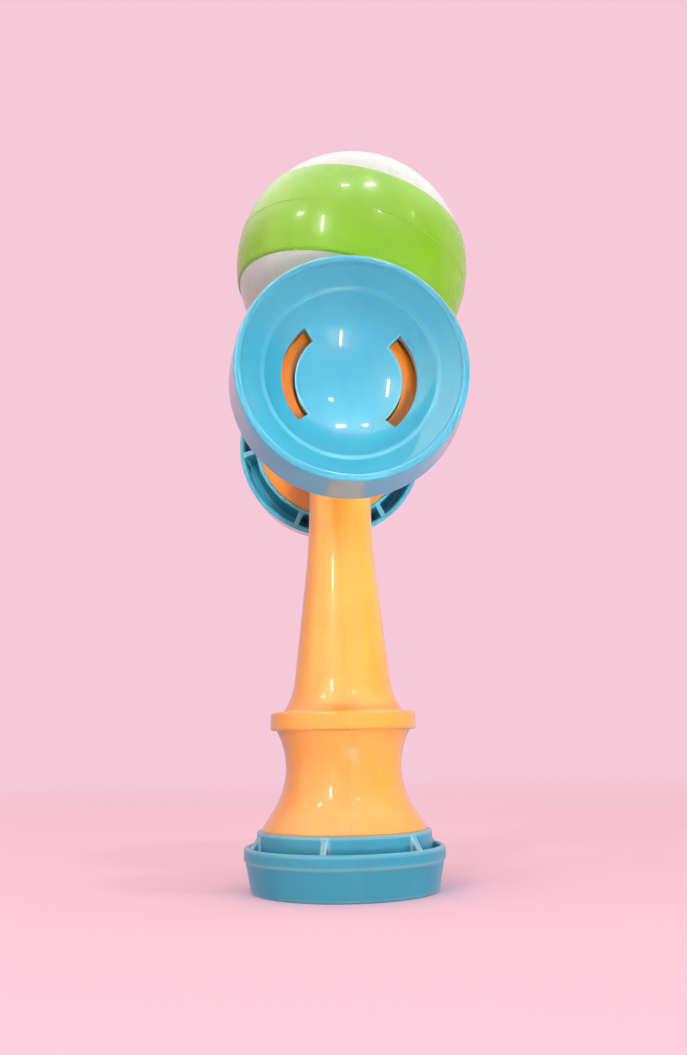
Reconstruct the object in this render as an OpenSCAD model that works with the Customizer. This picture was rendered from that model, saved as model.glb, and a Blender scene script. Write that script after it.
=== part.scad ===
// Cup and ball toy with three cups on a handle and crossbar, and a banded ball seated on the spike.
// The toy stands on its base cup. +Z runs up the handle's axis, the crossbar lies along Y and the
// big cup faces -Y. The origin is the middle of the ring that the base cup stands on.

/* [Handle] */
// Diameter of the shaft under the crossbar
shaft_d = 15.4; // [14:0.2:17]
// Diameter of the shaft where it flares into the ring
shaft_low_d = 23; // [21:0.2:25]
// Height at which the shaft's taper ends
taper_top_z = 82.5; // [76:0.5:88]
// Radius that eases the taper into the straight shaft
taper_blend_r = 160; // [60:10:200]
// Diameter of the ring round the handle
ring_d = 34.7; // [32:0.1:38]
// Height of the ring's side
ring_h = 4.3; // [3.5:0.1:5.5]
// Height of the ring's lower face
ring_z = 36.5; // [35:0.1:38]
// Rounding of the ring's corners
ring_round = 0.7; // [0.3:0.1:1.2]
// Diameter of the flare where it meets the ring's top
flare_d = 28.8; // [28:0.2:31]
// Height of the flare over the ring
flare_h = 7.6; // [6:0.2:10]
// Diameter of the neck at its narrowest
neck_d = 27.4; // [26:0.1:29]
// Height of the neck's narrowest place
neck_z = 28; // [26:0.1:29.5]
// Radius of the neck's waist
neck_arc_r = 17.5; // [15:0.1:18]
// Diameter of the flared end where the base cup's collar seats
foot_d = 39.2; // [38.8:0.1:40]
// Width of the hollow in the handle's foot
core_d = 18.4; // [14:0.2:19]
// Width of the hollow at its upper end
core_top_d = 9; // [6:0.2:10]

/* [Spike] */
// Diameter of the spike's root
spike_d = 10.6; // [9:0.1:11]
// Radius of the spike's round tip
spike_tip_r = 2.4; // [1.5:0.1:3]
// Length of the spike above the crossbar's hub
spike_h = 28; // [24:0.5:30]

/* [Crossbar] */
// Height of the crossbar's axis
bar_z = 114.3; // [110:0.1:120]
// Diameter of the hub in the middle
hub_d = 21; // [20:0.2:22]
// Length of the hub's straight part
hub_w = 10; // [6:0.5:14]
// Diameter of each bell where a cup's collar seats
bell_d = 40.4; // [39:0.1:41]
// Height of the handle's shoulder over the crossbar's axis
shoulder_h = 4; // [2:0.5:5]
// Running gap between the handle and the crossbar's bore
bore_gap = 0.1; // [0.05:0.05:0.2]
// Wall of the lug tube behind the slots
lug_wall = 3.4; // [2.6:0.1:4]
// Depth of the hollow behind each plug
bar_core_h = 4; // [2:0.5:6]

/* [Cups] */
// Distance from the handle's axis to the back edge of the two crossbar cups
cup_seat = 26.2; // [25:0.1:28]
// Diameter of the big cup's back edge
big_back_d = 54.4; // [53:0.1:56]
// Diameter of the big cup's rim
big_rim_d = 52; // [51:0.1:54]
// Height of the big cup's skirt
big_h = 12.7; // [12:0.1:14]
// Diameter of the small cup's back edge
small_back_d = 50.6; // [50:0.1:52]
// Diameter of the small cup's rim
small_rim_d = 48.2; // [47.4:0.1:50]
// Height of the small cup's skirt
small_h = 11.6; // [11:0.1:13]
// Diameter of the base cup's back edge
base_back_d = 47.1; // [46.6:0.1:49]
// Diameter of the base cup's rim
base_rim_d = 44; // [43:0.1:46]
// Height of the base cup's skirt
base_h = 10.2; // [9.6:0.1:11]
// Wall of the skirts
skirt_wall = 1.4; // [1:0.1:1.6]
// Wall of the bowls
bowl_wall = 1.8; // [1.4:0.1:2.2]
// Radius of the bowls
bowl_r = 26; // [24:0.5:32]
// Width of each rim's edge
rim_w = 1.8; // [1.6:0.1:2.2]
// Rounding of each rim's edge
rim_round = 0.65; // [0.3:0.05:0.75]
// Width of the sloping wall inside each rim
slope_w = 4; // [3:0.1:5]
// Depth of the sloping wall inside each rim
slope_h = 4; // [3:0.1:5]
// Width of the ledge round each bowl
ledge_w = 0.9; // [0.5:0.1:1.4]
// Drop from the ledge to each bowl
ledge_h = 0.35; // [0.2:0.05:0.6]
// Wall of the collars that hold the bells
collar_wall = 1.5; // [1.1:0.1:1.6]
// Reach of the crossbar cups' collars past their back edge
collar_reach = 3; // [2:0.1:3.2]
// Reach of the base cup's collar past its back edge
base_reach = 3.5; // [2.8:0.1:4]
// Depth of the step on a bell that a collar covers
collar_step = 0.7; // [0.5:0.1:0.9]
// Rounding of the collars' outer edge
edge_round = 0.5; // [0.2:0.1:0.7]
// Gap between a collar and the plug inside it
snap_gap = 0.1; // [0.05:0.05:0.2]
// Number of ribs between a collar and its skirt
rib_count = 6; // [4:1:8]
// Thickness of the ribs
rib_w = 1.3; // [0.8:0.1:2]
// Turn of the big cup's ribs, in degrees
big_rib_turn = 6; // [-30:1:30]
// Turn of the small cup's ribs, in degrees
small_rib_turn = -6; // [-30:1:30]
// Turn of the base cup's ribs, in degrees
base_rib_turn = 47; // [0:1:60]
// Height of the raised band round the base cup's back edge
lip_h = 3.3; // [2:0.1:4]
// Height that the band stands proud of the base cup's skirt
lip_proud = 0.35; // [0.2:0.05:0.6]

/* [Slots] */
// Radius of the slots' middle in the crossbar cups
slot_r = 13.85; // [13:0.05:14.4]
// Radius of the slots' middle in the base cup
base_slot_r = 10.6; // [10.2:0.1:11.4]
// Width of the slots
slot_w = 3.1; // [2.2:0.1:3.4]
// Angle that each slot spans
slot_span = 90; // [60:1:110]
// Turn of the big cup's slots from level
slot_turn = -4; // [-10:1:10]

/* [Ball] */
// Diameter of the ball over its band
ball_d = 60; // [59:0.2:61]
// Height of the green band
band_h = 24.6; // [20:0.2:28]
// Depth of the white caps under the band's surface
cap_inset = 0.4; // [0.2:0.1:0.6]
// Wall of the ball
ball_wall = 1.8; // [1.4:0.1:2.2]
// Chamfer of the band's edges and of the socket's mouth
ball_chamfer = 0.3; // [0.1:0.05:0.4]
// Depth of the groove at the band's seam
seam_groove = 0.15; // [0.1:0.05:0.3]
// Length of the spigots that join the ball's pieces
spigot_h = 3.6; // [2:0.1:5]
// Wall of the spigots
spigot_wall = 1.5; // [1:0.1:2]
// Gap round the spigots
spigot_gap = 0.15; // [0.1:0.05:0.3]
// Diameter of the holes for a string, in the ball and in the crossbar's hub
string_d = 3.2; // [2:0.1:4]
// Diameter of the spike's socket at its mouth
socket_d = 21; // [20.6:0.1:23]
// Diameter of the socket at its inner end
socket_top_d = 16.4; // [15:0.1:18]
// Depth of the socket from the ball's lowest point
socket_h = 36; // [34:0.5:38]
// Wall of the socket
socket_wall = 1.4; // [1:0.1:2]
// Gap between the seated ball and the two cups that carry it
seat_gap = 0.3; // [0.3:0.05:0.6]

/* [Ball pose] */
// Lean of the ball to the right, in degrees
ball_roll = 15; // [8:0.1:15.5]
// Lean of the ball to the back, in degrees
ball_tilt = 4.8; // [0:0.1:5]
// Roll of the ball round the crossbar's axis, in degrees
ball_shift = 5.6; // [4:0.1:6.5]

/* [Hidden] */
$fn = 96;
// Steps of the long arcs
arc_steps = 240;
// Margin by which a cutting shape passes the face that it cuts
cut = 1;
// Solid length of the shaft between its hollow and the crossbar
core_gap = 6;
// Clear space between a plug's end and the back of its bowl
plug_gap = 1.1;
// Distance that a lug tube's bore shows inside its slots
lug_show = 0.2;
// Distance that the ribs' edges lie under the collar's and the skirt's
rib_drop = 0.5;
// Least width of the recess between a collar and its skirt
recess_w = 0.1;
// Largest share that the waist's radius may take of the arc that runs right to the foot
waist_share = 0.97;

ORANGE = [1.0, 0.66, 0.22];
BLUE = [0.36, 0.70, 0.87];
WHITE = [0.94, 0.95, 0.94];
GREEN = [0.55, 0.82, 0.07];

// Handle
shaft_r = shaft_d / 2;
shaft_low_r = shaft_low_d / 2;
ring_top_z = ring_z + ring_h;
flare_top_z = ring_top_z + flare_h;
foot_z = base_h + base_reach;
foot_r = foot_d / 2;
foot_plug_r = foot_r - collar_step;
taper_angle = atan((shaft_low_r - shaft_r) / (taper_top_z - flare_top_z));
blend_reach = taper_blend_r * tan(taper_angle / 2);
shoulder_z = bar_z + shoulder_h;
spike_r = spike_d / 2;
hub_r = hub_d / 2;
spike_tip_z = bar_z + hub_r + spike_h;
core_top_z = bar_z - hub_r - core_gap;

// Crossbar and cups
bell_z = cup_seat - collar_reach;
bell_r = bell_d / 2;
plug_r = bell_r - collar_step;
bore_r = shaft_r + bore_gap;
spike_bore_r = spike_r + bore_gap;
lug_in = slot_r - slot_w / 2 + lug_show;
bar_core_z = bell_z - bar_core_h;
edge_bead = skirt_wall / 2;

// A cup's skirt moves out where its collar would otherwise fill the recess
function cup_grow(rim_d, collar) = max(0, collar + collar_wall + recess_w + skirt_wall - rim_d / 2);
// Each cup: rim radius, back radius, height, collar's inner radius, collar's reach and slot radius
function cup_of(rim_d, back_d, h, collar, reach, slot) =
    [rim_d / 2 + cup_grow(rim_d, collar), back_d / 2 + cup_grow(rim_d, collar), h, collar, reach, slot];
bell_collar_r = plug_r + snap_gap;
foot_collar_r = foot_plug_r + snap_gap;
BIG = cup_of(big_rim_d, big_back_d, big_h, bell_collar_r, collar_reach, slot_r);
SMALL = cup_of(small_rim_d, small_back_d, small_h, bell_collar_r, collar_reach, slot_r);
BASE = cup_of(base_rim_d, base_back_d, base_h, foot_collar_r, base_reach, base_slot_r);
function bowl_edge(cup) = cup[0] - rim_w - slope_w - ledge_w;
function bowl_top(cup) = -slope_h - ledge_h + sqrt(pow(bowl_r, 2) - pow(bowl_edge(cup), 2));
function bowl_back(cup, r) = bowl_top(cup) - sqrt(pow(bowl_r + bowl_wall, 2) - r * r);

// The bells' plugs and the handle's foot end a little behind the bowls
plug_z = cup_seat + min(big_h + bowl_back(BIG, lug_in), small_h + bowl_back(SMALL, lug_in)) - plug_gap;
foot_lug_in = base_slot_r - slot_w / 2 + lug_show;
foot_end_z = -bowl_back(BASE, foot_lug_in) + plug_gap;

// Ball: its centre is where it clears both cups' back edges, both collars and the hub by the seat gap
ball_r = ball_d / 2;
cap_r = ball_r - cap_inset;
band_z = band_h / 2;
edge_front = [-(cup_seat + edge_bead), BIG[1] - edge_bead];
edge_rear = [cup_seat + edge_bead, SMALL[1] - edge_bead];
edge_span = norm(edge_rear - edge_front);
seat_r = ball_r + edge_bead + seat_gap;
seat_rise = sqrt(max(0, seat_r * seat_r - edge_span * edge_span / 4));
edge_normal = [edge_front[1] - edge_rear[1], edge_rear[0] - edge_front[0]] / edge_span;
edge_seat = (edge_front + edge_rear) / 2 + seat_rise * edge_normal;
// Height of the ball's centre over the crossbar's axis where it rests on a ring at a distance beside it
function seat_over(ring_r, beside) = ring_r + sqrt(max(0, pow(cap_r + seat_gap, 2) - beside * beside));
seat_h = max(edge_seat[1], seat_over(bell_collar_r + collar_wall, bell_z - abs(edge_seat[0])),
             seat_over(hub_r, 0));
ball_at = [seat_h * sin(ball_shift), edge_seat[0], bar_z + seat_h * cos(ball_shift)];

// Radius of a sphere's slice at a height
function slice_r(r, z) = sqrt(r * r - z * z);
// Radius of the arc that leaves a straight line and rises by a height over a reach
function arc_r(reach, rise) = (reach * reach + rise * rise) / (2 * rise);

// Half of a circle, on the side that a revolve may use
module half_circle(r) {
    intersection() {
        circle(r);
        translate([0, -r - cut]) square([r + cut, 2 * (r + cut)]);
    }
}

// A plain band of a revolve's section, from one radius to another and from one height to another
module section_band(r0, r1, z0, z1) {
    translate([r0, z0]) square([r1 - r0, z1 - z0]);
}

// The waisted neck: an arc at its narrowest place, and a cone that leaves the arc for the foot
module neck_section() {
    r = min(neck_arc_r, waist_share * arc_r(neck_z - foot_z, foot_r - neck_d / 2));
    middle = [neck_d / 2 + r, neck_z];
    foot = [foot_r, foot_z];
    to_foot = foot - middle;
    leave = atan2(to_foot[1], to_foot[0]) - acos(r / norm(to_foot));
    waist = middle + r * [cos(leave), sin(leave)];
    top = [middle[0] - sqrt(r * r - pow(ring_z - neck_z, 2)), ring_z];
    polygon([[0, foot_z], foot, waist, [0, waist[1]]]);
    difference() {
        polygon([[0, foot_z], waist, top, top + [0, ring_round], [0, ring_z + ring_round]]);
        translate(middle) circle(r, $fn = arc_steps);
    }
}

// The ring with rounded corners
module ring_section() {
    r = ring_d / 2;
    section_band(0, r - ring_round, ring_z, ring_top_z);
    section_band(0, r, ring_z + ring_round, ring_top_z - ring_round);
    for (z = [ring_z + ring_round, ring_top_z - ring_round])
        translate([r - ring_round, z]) circle(ring_round);
}

// The flare over the ring, hollowed by one arc that leaves the shaft's taper smoothly
module flare_section() {
    low = [flare_d / 2, ring_top_z];
    high = [shaft_low_r, flare_top_z];
    out = [cos(taper_angle), sin(taper_angle)];
    r = pow(norm(low - high), 2) / (2 * (low - high) * out);
    difference() {
        polygon([[0, ring_z + ring_round], [low[0], ring_z + ring_round], low, high,
                 [0, flare_top_z + cut]]);
        translate(high + r * out) circle(r, $fn = arc_steps);
    }
}

// The tapered shaft, eased into its straight upper part, which ends in the shoulder
module shaft_section() {
    polygon([[0, flare_top_z], [shaft_low_r, flare_top_z], [shaft_r, taper_top_z],
             [shaft_r, shoulder_z], [0, shoulder_z]]);
    low = [shaft_r + blend_reach * sin(taper_angle), taper_top_z - blend_reach * cos(taper_angle)];
    high = [shaft_r, taper_top_z + blend_reach];
    difference() {
        polygon([[0, low[1]], low, high, [0, high[1]]]);
        translate([shaft_r + taper_blend_r, high[1]]) circle(taper_blend_r, $fn = arc_steps);
    }
}

// The spike, straight through the hub and then tapered to its round tip
module spike_section() {
    root_z = bar_z + hub_r;
    polygon([[0, shoulder_z], [spike_r, shoulder_z], [spike_r, root_z],
             [spike_tip_r, spike_tip_z - spike_tip_r], [0, spike_tip_z - spike_tip_r]]);
    translate([0, spike_tip_z - spike_tip_r]) half_circle(spike_tip_r);
}

module handle() {
    color(ORANGE)
    rotate_extrude()
    difference() {
        union() {
            neck_section();
            ring_section();
            flare_section();
            shaft_section();
            spike_section();
            section_band(0, foot_plug_r, foot_end_z, foot_z + collar_step / 2);
        }
        polygon([[0, foot_end_z - cut], [foot_lug_in, foot_end_z - cut], [foot_lug_in, foot_z],
                 [core_d / 2, flare_top_z], [core_top_d / 2, core_top_z], [0, core_top_z]]);
        section_band(foot_lug_in + lug_wall, foot_plug_r - bowl_wall, foot_end_z - cut, foot_z);
    }
}

// One half of the crossbar's section, with the bell that flares to a cup and the plug inside its collar
module bell_section() {
    reach = bell_z - hub_w / 2;
    r = arc_r(reach, bell_r - hub_r);
    difference() {
        union() {
            section_band(0, hub_r, 0, hub_w / 2);
            difference() {
                section_band(0, hub_r + r, hub_w / 2, bell_z);
                translate([hub_r + r, hub_w / 2]) circle(r);
            }
            section_band(0, plug_r, bell_z - collar_step / 2, plug_z);
        }
        section_band(0, lug_in, bar_core_z, plug_z + cut);
        section_band(lug_in + lug_wall, plug_r - bowl_wall, bell_z + bowl_wall / 2, plug_z + cut);
    }
}

module crossbar() {
    color(ORANGE)
    difference() {
        translate([0, 0, bar_z])
        for (turn = [90, -90])
            rotate([turn, 0, 0]) rotate_extrude() bell_section();
        translate([0, 0, bar_z - hub_d]) cylinder(r = bore_r, h = hub_d + shoulder_h);
        translate([0, 0, bar_z]) cylinder(r = spike_bore_r, h = hub_d);
        translate([0, 0, bar_z]) rotate([0, 90, 0]) cylinder(d = string_d, h = hub_d);
    }
}

// A cup's section: rim at height 0, with the skirt, bowl and collar below it
module cup_section(cup, lip = 0) {
    rim = cup[0];
    back = cup[1];
    high = cup[2];
    collar = cup[3];
    reach = cup[4];
    rim_in = rim - rim_w;
    ring = rim_in - slope_w;
    edge = bowl_edge(cup);
    collar_out = collar + collar_wall;
    fall = slope_h / slope_w;
    skirt_in = rim - skirt_wall;
    band = lip > 0 ? [[back - lip, -high + lip_h], [back, -high + lip_h - lip]] : [];
    difference() {
        union() {
            polygon(concat([[0, -rim_round], [rim, -rim_round]], band, [[back, -high + edge_bead],
                           [0, -high + edge_bead]]));
            translate([back - edge_bead, -high + edge_bead]) circle(edge_bead);
            section_band(0, collar_out, -high - reach + edge_round, -rim_round);
            section_band(0, collar_out - edge_round, -high - reach, -high);
            translate([collar_out - edge_round, -high - reach + edge_round]) circle(edge_round);
            section_band(rim_in + rim_round, rim - rim_round, -rim_w, 0);
            for (r = [rim_in + rim_round, rim - rim_round])
                translate([r, -rim_round]) circle(rim_round);
        }
        // The sloping wall, the ledge and the bowl
        polygon([[0, cut], [rim_in, cut], [rim_in, -rim_round], [ring, -slope_h],
                 [edge, -slope_h - ledge_h], [0, -slope_h - ledge_h]]);
        intersection() {
            translate([0, bowl_top(cup)]) half_circle(bowl_r);
            section_band(0, edge, -high - reach, 0);
        }
        // The recess between the skirt and the collar
        polygon([[collar_out, -high - cut], [back - skirt_wall, -high - cut],
                 [back - skirt_wall, -high + edge_bead], [skirt_in, -bowl_wall - rim_round],
                 [collar_out, -bowl_wall - max(rim_round, fall * (rim_in - collar_out))]]);
        // The inside of the collar, behind the bowl
        difference() {
            section_band(0, collar, -high - reach - cut, -slope_h - ledge_h - bowl_wall);
            translate([0, bowl_top(cup)]) half_circle(bowl_r + bowl_wall);
        }
    }
}

module cup_slots(cup, turn) {
    for (side = [0, 180])
        rotate(turn + side - slot_span / 2)
        translate([0, 0, -cup[2] - cup[4]])
        rotate_extrude(angle = slot_span)
        section_band(cup[5] - slot_w / 2, cup[5] + slot_w / 2, 0, cup[2] + cup[4]);
}

// Ribs from a cup's collar to its skirt and up to its sloping wall, with their edge sloping from the
// collar to the skirt
module cup_ribs(cup, phase) {
    collar_mid = cup[3] + collar_wall / 2;
    skirt_mid = cup[1] - edge_bead;
    rim_mid = cup[0] - edge_bead;
    edge_z = -cup[2] + rib_drop;
    root_z = -bowl_wall / 2 - max(rim_round, slope_h / slope_w * (cup[0] - rim_w - collar_mid));
    for (i = [0 : rib_count - 1])
        rotate(phase + i * 360 / rib_count)
        rotate([90, 0, 0])
        translate([0, 0, -rib_w / 2])
        linear_extrude(rib_w)
        polygon([[collar_mid, edge_z - cup[4]], [cup[3] + collar_wall, edge_z - cup[4]],
                 [skirt_mid, edge_z], [rim_mid, -bowl_wall], [collar_mid, root_z]]);
}

module cup(cup, slot_angle, rib_phase, lip = 0) {
    color(BLUE) {
        difference() {
            rotate_extrude() cup_section(cup, lip);
            cup_slots(cup, slot_angle);
        }
        cup_ribs(cup, rib_phase);
    }
}

module big_cup() {
    translate([0, -cup_seat - big_h, bar_z]) rotate([90, 0, 0]) cup(BIG, slot_turn, big_rib_turn);
}

module small_cup() {
    translate([0, cup_seat + small_h, bar_z]) rotate([-90, 0, 0]) cup(SMALL, 0, small_rib_turn);
}

module base_cup() {
    rotate([180, 0, 0]) cup(BASE, 0, base_rib_turn, lip_proud);
}

// Put the ball's pieces where the ball is seated, with its lean
module seated() {
    translate(ball_at) rotate([-ball_tilt, ball_roll, 0]) children();
}

// A slice of a spherical shell
module shell_section(r, z0, z1) {
    difference() {
        intersection() {
            half_circle(r);
            section_band(0, r + cut, z0, z1);
        }
        half_circle(r - ball_wall);
    }
}

// The spigot of a white cap, which plugs into the band's open edge
module cap_spigot_section(z0, z1) {
    r = slice_r(ball_r - ball_wall, band_z) - spigot_gap;
    section_band(r - spigot_wall, r, z0, z1);
}

module ball_upper_cap() {
    color(WHITE)
    seated()
    rotate_extrude()
    difference() {
        union() {
            shell_section(cap_r, band_z, ball_r);
            cap_spigot_section(band_z - spigot_h, band_z + spigot_wall);
        }
        section_band(0, string_d / 2, 0, ball_d);
    }
}

// One half of the band, from the seam to its edge, with half of the groove at the seam
module half_band_section(z0, z1) {
    edge_r = slice_r(ball_r, band_z);
    difference() {
        shell_section(ball_r, z0, z1);
        polygon([[ball_r - seam_groove, 0], [ball_r + cut, -seam_groove - cut],
                 [ball_r + cut, seam_groove + cut]]);
        for (side = [-1, 1])
            polygon([[edge_r - ball_chamfer, side * (band_z + cut)],
                     [edge_r - ball_chamfer, side * band_z],
                     [edge_r + cut, side * (band_z - ball_chamfer - cut)],
                     [edge_r + cut, side * (band_z + cut)]]);
    }
}

module ball_upper_band() {
    color(GREEN) seated() rotate_extrude() half_band_section(0, band_z);
}

module ball_lower_band() {
    tongue_r = slice_r(ball_r - ball_wall, spigot_h) - spigot_gap;
    color(GREEN)
    seated()
    rotate_extrude() {
        half_band_section(-band_z, 0);
        section_band(tongue_r - spigot_wall, tongue_r, -spigot_h, spigot_h);
        section_band(tongue_r - spigot_wall, ball_r - ball_wall / 2, -spigot_h, 0);
    }
}

// The lower cap, with the tapered socket that the spike stands in
module ball_lower_cap() {
    mouth_r = socket_d / 2;
    end_r = socket_top_d / 2;
    end_z = -cap_r + socket_h;
    mouth_z = -slice_r(cap_r, mouth_r);
    color(WHITE)
    seated()
    rotate_extrude()
    difference() {
        union() {
            shell_section(cap_r, -ball_r, -band_z);
            cap_spigot_section(-band_z - spigot_wall, -band_z + spigot_h);
            intersection() {
                half_circle(cap_r);
                polygon([[0, -cap_r], [mouth_r + socket_wall, -cap_r],
                         [end_r + socket_wall, end_z + socket_wall], [0, end_z + socket_wall]]);
            }
        }
        polygon([[0, -cap_r - cut], [mouth_r, -cap_r - cut], [mouth_r, -cap_r], [end_r, end_z],
                 [0, end_z]]);
        polygon([[0, mouth_z - cut], [mouth_r + ball_chamfer + cut, mouth_z - cut],
                 [mouth_r - ball_chamfer, mouth_z + 2 * ball_chamfer], [0, mouth_z + 2 * ball_chamfer]]);
        section_band(0, string_d / 2, 0, ball_d);
    }
}

handle();
crossbar();
big_cup();
small_cup();
base_cup();
ball_upper_cap();
ball_upper_band();
ball_lower_band();
ball_lower_cap();
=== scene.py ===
"""Cup and ball toy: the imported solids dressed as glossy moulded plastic, on a pale studio floor."""

import logging
import math
from dataclasses import dataclass, field
from enum import Enum
from typing import ClassVar

import bmesh
import bpy
from mathutils import Matrix, Vector


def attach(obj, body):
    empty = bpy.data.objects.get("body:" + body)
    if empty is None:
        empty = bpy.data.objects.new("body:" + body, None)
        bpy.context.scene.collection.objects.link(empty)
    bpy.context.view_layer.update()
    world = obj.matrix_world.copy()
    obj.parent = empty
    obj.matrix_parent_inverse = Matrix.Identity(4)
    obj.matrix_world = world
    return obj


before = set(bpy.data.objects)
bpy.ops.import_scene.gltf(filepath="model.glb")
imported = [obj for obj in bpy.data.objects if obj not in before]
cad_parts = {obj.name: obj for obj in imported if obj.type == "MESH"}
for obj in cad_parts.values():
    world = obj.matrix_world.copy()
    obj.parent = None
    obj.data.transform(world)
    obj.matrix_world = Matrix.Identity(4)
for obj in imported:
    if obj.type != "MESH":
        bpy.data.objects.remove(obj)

LOG = logging.getLogger("toy")
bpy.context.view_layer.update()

Colour = tuple[float, float, float]
Point = tuple[float, float, float]
Span = tuple[float, float]


class Slot(Enum):
    """Material slots of the record, one for each colour of plastic."""

    ORANGE = "orange_plastic"
    BLUE = "blue_plastic"
    WHITE = "white_plastic"
    GREEN = "green_plastic"


class BatchOrLitCopy(Enum):
    """Plastics that the pieces are moulded from; the handle's is a lit copy of the orange, and the
    crossbar's and the base cup's are shaded copies of the orange and the blue: painted light and painted
    shade in their pigments.
    """

    # The handle's orange is a lit copy and the crossbar's a shaded copy of one plastic: painted light and
    # painted shade.
    HANDLE = "orange_plastic"
    CROSSBAR = "orange_plastic_inner"
    CUP = "blue_plastic"
    # The base cup's blue is a shaded copy of the cups' blue: painted shade.
    BASE = "blue_plastic_base"
    CAP = "white_plastic"
    BAND = "green_plastic"


class Socket(Enum):
    """Kinds of socket on a node group."""

    COLOUR = "NodeSocketColor"
    VALUE = "NodeSocketFloat"
    VECTOR = "NodeSocketVector"
    COUNT = "NodeSocketInt"
    ROTATION = "NodeSocketRotation"
    SOLID = "NodeSocketObject"
    MATERIAL = "NodeSocketMaterial"
    GEOMETRY = "NodeSocketGeometry"


@dataclass(frozen=True)
class Finish:
    """How one moulded plastic looks, or a lit or shaded copy of it with painted light or shade in its
    pigment.

    Attributes:
        slot: The record's material slot.
        pigment: Colour of the plastic, linear.
        deep: Colour where the melt ran thicker, linear.
        edge: Colour of the painted highlight along thin corners, linear.
        gloss: Roughness of the polished surface.
        gloss_spread: How much the roughness wanders over the surface.
        mottle: Strength of the cloudy colour change.
        streak: Strength of the flow lines from the mould.
        peel: Height of the faint waviness of a moulded surface, in metres.
        glow: Share of light that goes in and comes out again.
        glow_radius: Reach of that light in red, green and blue, in metres.
        shine: Weight of the clear polish that the mould's mirror finish leaves.
        corner: Radius that the polish gives to sharp corners, which also sets the width of the painted
            highlight along them, in metres.
    """

    slot: Slot
    pigment: Colour
    deep: Colour
    edge: Colour
    gloss: float
    gloss_spread: float
    mottle: float
    streak: float
    peel: float
    glow: float
    glow_radius: Colour
    shine: float
    corner: float


# In each entry, the third colour is a painted highlight along corners.
FINISHES: dict[BatchOrLitCopy, Finish] = {
    # Handle: pigment lighter than the crossbar's, a lit copy of the same orange: painted light.
    BatchOrLitCopy.HANDLE: Finish(
        slot=Slot.ORANGE, pigment=(0.92, 0.370, 0.052), deep=(0.90, 0.325, 0.040), edge=(0.95, 0.46, 0.09),
        gloss=0.30, gloss_spread=0.06, mottle=0.55, streak=0.30, peel=0.000012,
        glow=0.30, glow_radius=(0.0030, 0.0014, 0.0004), shine=0.8, corner=0.0008),
    # Crossbar: pigment darker than the handle's, a shaded copy of the same orange: painted shade.
    BatchOrLitCopy.CROSSBAR: Finish(
        slot=Slot.ORANGE, pigment=(0.84, 0.238, 0.015), deep=(0.81, 0.210, 0.012), edge=(0.93, 0.37, 0.05),
        gloss=0.22, gloss_spread=0.05, mottle=0.50, streak=0.30, peel=0.000012,
        glow=0.30, glow_radius=(0.0030, 0.0014, 0.0004), shine=0.30, corner=0.0004),
    BatchOrLitCopy.CUP: Finish(
        slot=Slot.BLUE, pigment=(0.040, 0.350, 0.490), deep=(0.030, 0.310, 0.450), edge=(0.17, 0.52, 0.67),
        gloss=0.30, gloss_spread=0.06, mottle=0.50, streak=0.25, peel=0.000010,
        glow=0.15, glow_radius=(0.0006, 0.0014, 0.0020), shine=1.0, corner=0.0010),
    # Base cup: pigment darker than the cups', a shaded copy of the same blue: painted shade; its near-white
    # corner colour is a strong painted highlight.
    BatchOrLitCopy.BASE: Finish(
        slot=Slot.BLUE, pigment=(0.030, 0.318, 0.458), deep=(0.022, 0.278, 0.410), edge=(0.44, 0.66, 0.74),
        gloss=0.36, gloss_spread=0.06, mottle=0.60, streak=0.25, peel=0.000012,
        glow=0.15, glow_radius=(0.0006, 0.0014, 0.0020), shine=0.5, corner=0.0013),
    BatchOrLitCopy.CAP: Finish(
        slot=Slot.WHITE, pigment=(0.57, 0.585, 0.53), deep=(0.525, 0.54, 0.485), edge=(0.63, 0.64, 0.60),
        gloss=0.28, gloss_spread=0.06, mottle=0.45, streak=0.15, peel=0.000010,
        glow=0.25, glow_radius=(0.0022, 0.0020, 0.0016), shine=0.35, corner=0.0003),
    BatchOrLitCopy.BAND: Finish(
        slot=Slot.GREEN, pigment=(0.245, 0.505, 0.006), deep=(0.210, 0.460, 0.004), edge=(0.42, 0.68, 0.08),
        gloss=0.26, gloss_spread=0.06, mottle=0.50, streak=0.20, peel=0.000010,
        glow=0.20, glow_radius=(0.0010, 0.0018, 0.0003), shine=0.35, corner=0.0003),
}


def opaque(colour: Colour) -> tuple[float, float, float, float]:
    """Gives a colour its full alpha."""
    return (*colour, 1.0)


@dataclass(frozen=True)
class Layer:
    """One layer of noise in a pattern.

    Attributes:
        scale: Features in a metre.
        detail: Number of finer layers.
        cut: Values of the noise between which the pattern goes from none to full.
    """

    scale: float
    detail: float
    cut: Span = (0.0, 1.0)


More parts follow.
